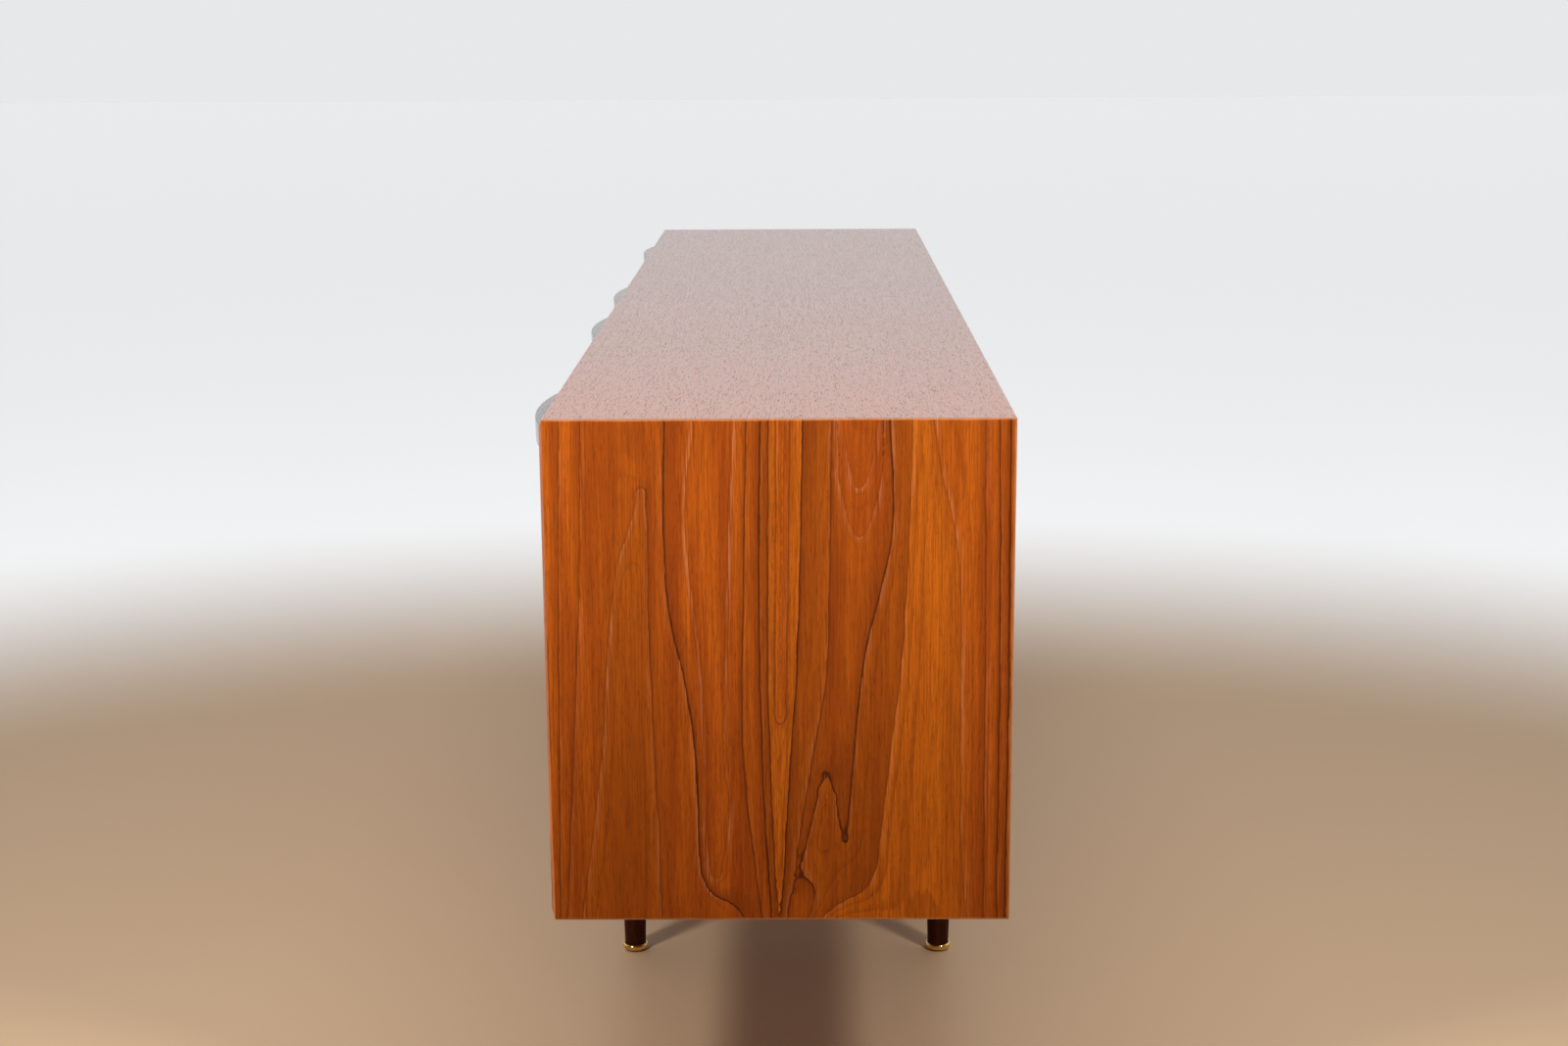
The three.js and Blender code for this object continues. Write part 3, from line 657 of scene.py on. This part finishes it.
for side, outward in (("left", -1), ("right", 1)):
    leaf = end_leaf(f"{side}_end_veneer", f"{side}_end_panel", outward)
    leaf.data.materials.append(show_teak(f"teak_{side}_end_leaf", f"{side}_end_panel"))
    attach(leaf, "case")
    print(leaf.name, len(leaf.data.vertices), "points")

# %% [markdown]
# ## Doors, drawer fronts and inner woods
# Doors have upright grain with a tall arch in the middle, because a leaf sliced
# straight across the heart of a log shows arches. In the shader the pith lies behind
# the middle of the door and comes nearer towards its top. The three drawer fronts are
# cut from one leaf laid lengthways, so the figure runs on from one to the next. That
# takes only one shared pith, since the grain is worked out from where the wood is.

# %% Doors and drawer fronts
DOORS = {"centre_left_door": 41.0, "centre_right_door": 41.0, "right_door": 47.0}
DRAWERS, DRAWER_SEED = ("lower", "middle", "top"), 53.0
QUIET = {"gloss": FRONT_GLOSS, "specular": 0.15, "early_share": 0.5, "ring_share": 0.7}
for door, seed in DOORS.items():
    low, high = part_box(door)
    door_teak = teak_board(f"teak_{door}", door, "Z across X", pith=(low.x + high.x) / 2, depth=0.0,
                           taper=0.16, spacing=0.010, wander=0.035, seed=seed, **QUIET)
    dress(door, door_teak)
low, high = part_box("middle_drawer_front")
for drawer in DRAWERS:
    front = f"{drawer}_drawer_front"
    front_teak = teak_board(f"teak_{front}", front, "X across Z", pith=(low.z + high.z) / 2, depth=0.15,
                            taper=0.12, spacing=0.009, wander=0.03, seed=DRAWER_SEED, **QUIET)
    dress(front, front_teak)
print(len(DOORS), "doors and", len(DRAWERS), "drawer fronts")

# %% [markdown]
# Three plain woods do the hidden work. The drawer boxes and runners are pale beech
# with short flecks. The back is thin plywood with a faced grain. The bearers under
# the case are dark stained, like the legs, and the pulls are the same dark wood with
# a coat of polish. The two sides and the back of a drawer are one frame, and its back
# board has its grain across the drawer, so the wood turns where a face looks rearward
# or forward.

# %% Plain woods
PLAIN_SPACING, RING_SHARE, FLECK_SHARE = 6 * MM, 0.35, 0.5


def plain_wood(name, turn, light, dark, gloss, seed, specular=0.4, coat=0.0, rear_turn=None):
    """A quiet wood of two tones: streaks between light and dark, faint ring lines and short flecks.
    With a rear_turn, faces that look to the front or the back turn their grain that way instead."""
    material, graph, shader = blank_material(name, gloss[0], specular, Coat_Weight=coat,
                                             Coat_Roughness=0.2)
    grain = turned_place(graph, turn)[1]
    if rear_turn:
        normal = graph.split(graph.make("ShaderNodeTexCoord").outputs["Normal"])
        facing = graph.math("GREATER_THAN", graph.math("ABSOLUTE", normal[1]), 0.5)
        grain = graph.mix(facing, grain, turned_place(graph, rear_turn)[1])
    ring = graph.group("growth_rings", Place=grain, Pith=0.4, Depth=0.1, Taper=0.05,
                       Spacing=PLAIN_SPACING, Wander=0.03, Seed=seed)["Ring"]
    figure = graph.group("veneer_figure", Place=grain, Ring=ring, Ring_Width=PLAIN_SPACING, Seed=seed)
    colour = graph.mix(graph.ramp(figure["Streak"], 0.3, 0.7), dark, light)
    colour = graph.mix(graph.math("MULTIPLY", figure["Shade"], RING_SHARE), colour, dark)
    colour = graph.mix(graph.math("MULTIPLY", figure["Pore"], FLECK_SHARE), colour, dark, "MULTIPLY")
    graph.feed(shader.inputs["Base Color"], colour)
    add_teak_surface(graph, shader, figure, *gloss, 0.08 * MM)
    return material


BEECH = (0.62, 0.42, 0.23, 1), (0.47, 0.28, 0.13, 1)
PLY = (0.42, 0.22, 0.09, 1), (0.30, 0.14, 0.055, 1)
WENGE = (0.070, 0.021, 0.0085, 1), (0.033, 0.0095, 0.0044, 1)
STAINED_LEG = (0.060, 0.0135, 0.0040, 1), (0.030, 0.0065, 0.0022, 1)
beech = plain_wood("beech", "X", *BEECH, (0.5, 0.62), 61.0)
beech_deep = plain_wood("beech_deep", "Y", *BEECH, (0.5, 0.62), 63.0, rear_turn="X")
ply = plain_wood("back_ply", "X", *PLY, (0.6, 0.72), 67.0)
dark_upright = plain_wood("dark_upright", "Z across X", *STAINED_LEG, (0.45, 0.56), 71.0, specular=0.06)
dark_long = plain_wood("dark_long", "X", *WENGE, (0.30, 0.42), 73.0, coat=1.0)
dark_deep = plain_wood("dark_deep", "Y", *WENGE, (0.42, 0.55), 79.0)

dress("back_panel", ply, 0.3 * MM)
for side in ("left", "right"):
    dress(f"{side}_bearer", dark_deep, 1.5 * MM, 3)
for drawer in DRAWERS:
    dress(f"{drawer}_drawer_box", beech_deep)
    dress(f"{drawer}_drawer_bottom", beech, 0)
    for side in ("left", "right"):
        dress(f"{drawer}_drawer_{side}_runner", beech_deep)
print("plain woods:", [m.name for m in (beech, beech_deep, ply, dark_upright, dark_long, dark_deep)])

# %% [markdown]
# ## Turned legs and brass glides
# Both come off a lathe, so both are one profile carried round an axis. The profile is
# a list of corners with a radius for each, and every corner is turned into an arc,
# which is what a file does to it on the lathe.

# %% Lathe work
def rounded(corners, arc=6):
    """An open outline through corners (a, b, radius). A corner becomes arc + 1 points of the curve that
    starts one radius before it, ends one radius after it and is pulled towards it: with t from 0 to 1,
    the point is (1 - t) squared times the start, plus 2 t (1 - t) times the corner, plus t squared times
    the end."""
    spots = np.array([corner[:2] for corner in corners], float)
    line = [spots[:1]]
    t = np.linspace(0, 1, arc + 1)[:, None]
    for before, spot, after, corner in zip(spots, spots[1:], spots[2:], corners[1:]):
        start = spot + (before - spot) / np.linalg.norm(before - spot) * corner[2]
        end = spot + (after - spot) / np.linalg.norm(after - spot) * corner[2]
        line.append((1 - t) ** 2 * start + 2 * t * (1 - t) * spot + t ** 2 * end)
    return np.concatenate(line + [spots[-1:]])


def new_piece(name, points, faces, material, body, replaced=(), flat=()):
    """A mesh object that rides on a body. Faces shade smooth, except those whose index is in flat."""
    mesh = bpy.data.meshes.new(name)
    mesh.from_pydata(np.asarray(points, float).tolist(), [], faces)
    smooth = np.ones(len(faces), bool)
    smooth[list(flat)] = False
    mesh.polygons.foreach_set("use_smooth", smooth)
    mesh.materials.append(material)
    piece = bpy.data.objects.new(name, mesh)
    bpy.context.scene.collection.objects.link(piece)
    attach(piece, body)
    if replaced:
        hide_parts(*replaced)
    return piece


def ring_faces(count, around):
    """Faces through count rings of points, each closed on itself, with a cap on the first and the last."""
    index = np.arange(count * around).reshape(count, around)
    beside = np.roll(index, -1, axis=1)
    quads = np.stack([index[:-1], beside[:-1], beside[1:], index[1:]], axis=-1).reshape(-1, 4)
    return quads.tolist() + [index[0, ::-1].tolist(), index[-1].tolist()]


def turned_rings(profile, axis, sides):
    """Rings of points: each (radius, height) of the profile carried round a vertical axis."""
    angle = np.linspace(0, 2 * np.pi, sides, endpoint=False)
    radius, height = profile[:, :1], profile[:, 1:]
    x, y = axis.x + radius * np.cos(angle), axis.y + radius * np.sin(angle)
    return np.stack([x, y, np.broadcast_to(height, x.shape)], axis=-1).reshape(-1, 3)


def box_axis(node):
    """The middle of a piece's box, and its two corners."""
    low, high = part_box(node)
    return (low + high) / 2, low, high


LEG_FOOT, LEG_HEAD, TENON = 12.5 * MM, 18 * MM, 9.7 * MM
AXIS_RADIUS, LEG_SIDES, FIT_GAP = 1 * MM, 72, 0.3 * MM
SHOULDER_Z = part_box("left_bearer")[0].z - FIT_GAP
CORNERS = [f"{end}_{side}" for end in ("front", "back") for side in ("left", "right")]

for corner in CORNERS:
    axis, low, high = box_axis(f"{corner}_leg")
    profile = rounded([
        (AXIS_RADIUS, low.z, 0), (LEG_FOOT, low.z, 0.9 * MM), (LEG_HEAD, SHOULDER_Z, 0.9 * MM),
        (TENON, SHOULDER_Z, 0.3 * MM), (TENON, high.z, 1 * MM), (AXIS_RADIUS, high.z, 0),
    ])
    new_piece(f"{corner}_turned_leg", turned_rings(profile, axis, LEG_SIDES),
              ring_faces(len(profile), LEG_SIDES), dark_upright, "case", [f"{corner}_leg"])
print("four legs,", len(profile), "rings each")

# %% [markdown]
# A glide is a cup of polished brass: a flat underside, a fat rolled rim, and a dished
# seat that the foot of the leg stands in. Polished brass is a smooth metal, so most of
# its look is what it mirrors. The finish adds faint marks that run round it, and a
# duller tone where fingers and floor cloths have been.

# %% Brass and steel
def metal(name, bright, dull, roughness):
    """A metal of two tones, with cloudy dullness and fine scratches that run level."""
    material, graph, shader = blank_material(name, roughness, metallic=1.0)
    place, grain = turned_place(graph, "Z across X")
    cloud = graph.noise(place, 60.0, 4.0, 0.6)
    scratch = graph.noise(stretched(graph, grain, 400.0, 40.0), 1.0, 3.0, 0.6)
    graph.feed(shader.inputs["Base Color"], graph.mix(graph.ramp(cloud, 0.35, 0.7), bright, dull))
    rough = graph.ramp(cloud, 0.3, 0.75, roughness * 0.7, roughness * 1.8)
    graph.feed(shader.inputs["Roughness"], graph.math("ADD", rough, graph.math("MULTIPLY", scratch, 0.06)))
    add_bump(graph, shader, scratch, 0.006 * MM)
    return material


brass = metal("polished_brass", (0.83, 0.56, 0.19, 1), (0.62, 0.38, 0.11, 1), 0.11)
hinge_brass = metal("hinge_brass", (0.72, 0.49, 0.18, 1), (0.52, 0.33, 0.11, 1), 0.24)
steel = metal("zinc_steel", (0.56, 0.57, 0.58, 1), (0.40, 0.41, 0.42, 1), 0.3)

SEAT, GLIDE_SIDES = 13.1 * MM, 96
for corner in CORNERS:
    axis, low, high = box_axis(f"{corner}_glide")
    rim = high.x - axis.x
    seat_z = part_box(f"{corner}_leg")[0].z - FIT_GAP
    profile = rounded([
        (AXIS_RADIUS, low.z, 0), (rim - 3.4 * MM, low.z, 0.4 * MM),
        (rim - 2.6 * MM, low.z + 1.2 * MM, 0.5 * MM), (rim, low.z + 2.4 * MM, 1.6 * MM),
        (rim, high.z, 2.6 * MM), (SEAT, high.z, 0.9 * MM), (SEAT, seat_z, 0.5 * MM),
        (AXIS_RADIUS, seat_z, 0),
    ], arc=8)
    new_piece(f"{corner}_brass_glide", turned_rings(profile, axis, GLIDE_SIDES),
              ring_faces(len(profile), GLIDE_SIDES), brass, "case", [f"{corner}_glide"])
print("four glides,", len(profile), "rings each")

# %% [markdown]
# ## Crescent pulls
# A pull is carved from one strip of dark wood. Seen from above it is a shallow bow,
# its top is level with the top of the front, and a lip hangs from its outer edge with
# room for fingers behind it. The section is drawn once, with soft corners, and carried
# along the pull while its reach follows the bow. Near the ends the lip thins to
# nothing, so the section is worked out anew at each station instead of being scaled.

# %% Pulls
PULL_ENDS, LIP, ROOF, STATIONS = 1.5 * MM, 7 * MM, 11 * MM, 96


def pull_section(reach, height):
    """Corners of one section as (out from the front, up), going round from the top of the foot. The
    corner radii shrink with the reach, so that the section stays a clean outline at the thin ends."""
    hollow = max(reach - LIP, 0.12 * reach)
    soft = min(2.2 * MM, reach * 0.35)
    slight = min(0.8 * MM, hollow * 0.3)
    return rounded([
        (0, -ROOF / 2, 0), (0, 0, 0.2 * MM), (reach, 0, soft), (reach - soft * 0.25, -height, soft * 0.9),
        (hollow, -height, slight), (hollow - slight, -ROOF, slight), (0, -ROOF, 0.1 * MM),
        (0, -ROOF / 2, 0),
    ], arc=5)[:-1]


def pull(name, node, body):
    """Carries the section along the pull. At u from -1 to 1 the reach is the end's plus 1 - u squared
    times what the middle adds, and stations crowd towards the ends as a cosine does."""
    low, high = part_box(node)
    middle, half, tip = (low.x + high.x) / 2, (high.x - low.x) / 2, high.y - low.y
    u = -np.cos(np.linspace(0, np.pi, STATIONS))
    rings = []
    for spot, reach in zip(u, PULL_ENDS + (tip - PULL_ENDS) * (1 - u ** 2)):
        section = pull_section(reach, high.z - low.z)
        x = np.full(len(section), middle + half * spot)
        rings.append(np.c_[x, high.y - section[:, 0], high.z + section[:, 1]])
    rings = np.array(rings)
    faces = ring_faces(*rings.shape[:2])
    return new_piece(name, rings.reshape(-1, 3), faces, dark_long, body, [node],
                     (len(faces) - 2, len(faces) - 1))


FRONTS = [*DOORS, *(f"{drawer}_drawer" for drawer in DRAWERS)]
for front in FRONTS:
    made = pull(f"{front}_crescent", f"{front}_pull", BODY_OF[f"{front}_pull"])
print(len(FRONTS), "pulls,", len(made.data.polygons), "faces each")

# %% [markdown]
# ## Small ironmongery
# The hinges keep the shape that the joinery gave them. Their screws are added: three
# in each leaf, countersunk, with a driven slot. A screw head is one profile carried
# round an axis, and the slot is real, a notch pressed into the rings that it crosses.

# %% Screws
SCREW_HEAD, SCREW_SIDES, SLOT_HALF, SLOT_DEPTH = 2.6 * MM, 24, 0.14, 0.5 * MM
HEAD_SHARES = np.array([1.0, 1.0, 0.93, 0.8, 0.6, 0.45, 0.3, 0.15, 0.02])
HEAD_RISES = np.array([-0.6, -0.05, 0.0, 0.04, 0.08, 0.1, 0.11, 0.12, 0.12]) * MM


def screw_points(centre, out, turn):
    """A countersunk head facing along out: rings with these shares of its radius, which rise by these
    heights, nearly flat. Inside the first two rings, a point less than SLOT_HALF of a radius from the
    slot's line, which is turned by this angle, is sunk by SLOT_DEPTH."""
    angle = np.linspace(0, 2 * np.pi, SCREW_SIDES, endpoint=False)
    share = HEAD_SHARES[:, None]
    a, b = share * np.cos(angle), share * np.sin(angle)
    off = np.abs(a * math.sin(turn) - b * math.cos(turn))
    sunk = np.where((off < SLOT_HALF) & (share < 0.95), SLOT_DEPTH, 0)
    out = np.array(out, float)
    side = np.cross(out, (0, 0, 1))
    side = side / np.linalg.norm(side)
    up = np.cross(side, out)
    flat = SCREW_HEAD * (a[..., None] * -side + b[..., None] * up)
    height = (HEAD_RISES[:, None] - sunk)[..., None]
    return (np.array(centre) + flat + height * out).reshape(-1, 3)


def screws(name, body, spots, material):
    """One piece that holds several screw heads. Each spot is a centre, a direction and a turn."""
    heads = [screw_points(*spot) for spot in spots]
    faces = [[number * len(head) + corner for corner in face] for number, head in enumerate(heads)
             for face in ring_faces(len(HEAD_SHARES), SCREW_SIDES)]
    return new_piece(name, np.concatenate(heads), faces, material, body)


PLATE_FACE, LEAF_MIDDLE, SCREW_STEP = 0.8 * MM, 9 * MM, 17 * MM
for door in DOORS:
    hinge_side = -1 if door == "centre_left_door" else 1
    for level in ("upper", "lower"):
        for part, side in (("case_leaf", hinge_side), ("door_leaf", -hinge_side)):
            node = f"{door}_{level}_hinge_{part}"
            dress(node, hinge_brass, 0)
            middle, low, high = box_axis(node)
            x, y = middle.x + side * PLATE_FACE, high.y - LEAF_MIDDLE
            spots = [((x, y, middle.z + step * SCREW_STEP), (-side, 0, 0), 0.5 + 1.3 * step * side)
                     for step in (-1, 0, 1)]
            screws(f"{node}_screws", BODY_OF[node], spots, hinge_brass)
print("hinges finished, three screws in each leaf")

# %% [markdown]
# The doors close on magnets: a block under the top of each cupboard, and a small
# steel strike plate on the back of each door.

# %% Catches
moulded, graph, shader = blank_material("magnet_case", 0.5, 0.45)
grit = graph.noise(graph.make("ShaderNodeTexCoord").outputs["Object"], 900.0, 3.0)
graph.feed(shader.inputs["Base Color"], graph.mix(grit, (0.30, 0.20, 0.12, 1), (0.24, 0.155, 0.09, 1)))
graph.feed(shader.inputs["Roughness"], graph.ramp(grit, 0.3, 0.7, 0.42, 0.58))
add_bump(graph, shader, grit, 0.03 * MM)
for name in ("centre_catch", "right_catch"):
    dress(name, moulded, 0.8 * MM)
for door in DOORS:
    dress(f"{door}_strike", steel, 0.25 * MM)
print("catches and strikes finished")

# %% [markdown]
# ## The room
# The room is a plain white studio. The floor is one pale sheet, oak coloured round
# the sideboard and fading to white away from it, as a paper backdrop does. The white
# part has a painted glow, an emission though it is no lamp, so that it meets the sky
# without a line.

# %% Floor
FLOOR_HALF, OAK_MIDDLE, OAK_REACH, WHITE_FROM = 30.0, (1.5, 0.0, 0.0), 2.1, 3.6
OAK_FLOOR, WHITE_FLOOR, PAINTED_FLOOR_GLOW = (0.47, 0.315, 0.185, 1), (0.55, 0.55, 0.55, 1), (0.48, 0.485, 0.49, 1)

floor_mesh = bpy.data.meshes.new("floor")
floor_corners = [(x * FLOOR_HALF, y * FLOOR_HALF, 0) for x, y in ((-1, -1), (1, -1), (1, 1), (-1, 1))]
floor_mesh.from_pydata(floor_corners, [], [(0, 1, 2, 3)])
floor = bpy.data.objects.new("floor", floor_mesh)
bpy.context.scene.collection.objects.link(floor)
floor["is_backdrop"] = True
floor_finish, graph, shader = blank_material("pale_floor", 0.55, 0.3)
place = graph.make("ShaderNodeTexCoord").outputs["Object"]
away = graph.vector("LENGTH", graph.vector("SUBTRACT", place, OAK_MIDDLE))
far = graph.ramp(away, OAK_REACH, WHITE_FROM)
graph.feed(shader.inputs["Base Color"], graph.mix(far, OAK_FLOOR, WHITE_FLOOR))
# Painted light: the far, white floor glows though it is no lamp.
graph.feed(shader.inputs["Emission Color"], graph.mix(far, (0, 0, 0, 1), PAINTED_FLOOR_GLOW))
shader.inputs["Emission Strength"].default_value = 1.0
floor_mesh.materials.append(floor_finish)
print("floor", 2 * FLOOR_HALF, "m wide")

# %% [markdown]
# The sky is white all round for the camera. For the lighting it is dimmer on the side
# behind the camera, so the near end keeps its deep colour while the top still mirrors
# a white room. Two small key lamps stand above the near end, one on each side, and
# throw the legs' crossing shadows on the floor. A wide lamp overhead softens them.

# %% World and lamps
WHITE_SKY, DIM_SKY = (0.80, 0.81, 0.82, 1), (0.06, 0.06, 0.062, 1)
world = bpy.data.worlds.new("white_studio")
world.use_nodes = True
bpy.context.scene.world = world
graph = Graph(world.node_tree)
background = next(node for node in world.node_tree.nodes if node.type == "BACKGROUND")
direction = graph.make("ShaderNodeTexCoord").outputs["Generated"]
behind_eye = graph.ramp(graph.split(direction)[0], -0.35, 0.5)
lit = graph.mix(behind_eye, WHITE_SKY, DIM_SKY)
seen = graph.make("ShaderNodeLightPath").outputs["Is Camera Ray"]
graph.feed(background.inputs["Color"], graph.mix(seen, lit, WHITE_SKY))
background.inputs["Strength"].default_value = 1.0


def lamp(name, place, aim, size, watts):
    """A square soft lamp at place, turned towards aim."""
    light = bpy.data.lights.new(name, "AREA")
    light.shape, light.size, light.energy = "SQUARE", size, watts
    made = bpy.data.objects.new(name, light)
    made.location = place
    made.visible_camera = False
    made.rotation_euler = (Vector(aim) - Vector(place)).to_track_quat("-Z", "Y").to_euler()
    bpy.context.scene.collection.objects.link(made)


KEY_AIM, KEY_SIZE = (1.0, 0.0, 0.6), 0.25
lamp("key_left", (1.6, -1.0, 1.47), KEY_AIM, KEY_SIZE, 20)
lamp("key_right", (1.6, 1.0, 1.47), KEY_AIM, KEY_SIZE, 17)
lamp("overhead", (0.0, 0.0, 3.6), (0.0, 0.0, 0.0), 2.6, 40)
bpy.context.scene.view_settings.view_transform = "Standard"
print("world and", len(bpy.data.lights), "lamps")

# %% [markdown]
# ## Sizes and the end
# The looks must not change the size of the piece. The last lines print how far the
# finished box reaches past the joinery's box on each side.

# %% Finish
low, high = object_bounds()
for side, growth in (("low", CASE_LOW - low), ("high", high - CASE_HIGH)):
    print("grown on the", side, "side by", [round(length / MM, 2) for length in growth], "mm")
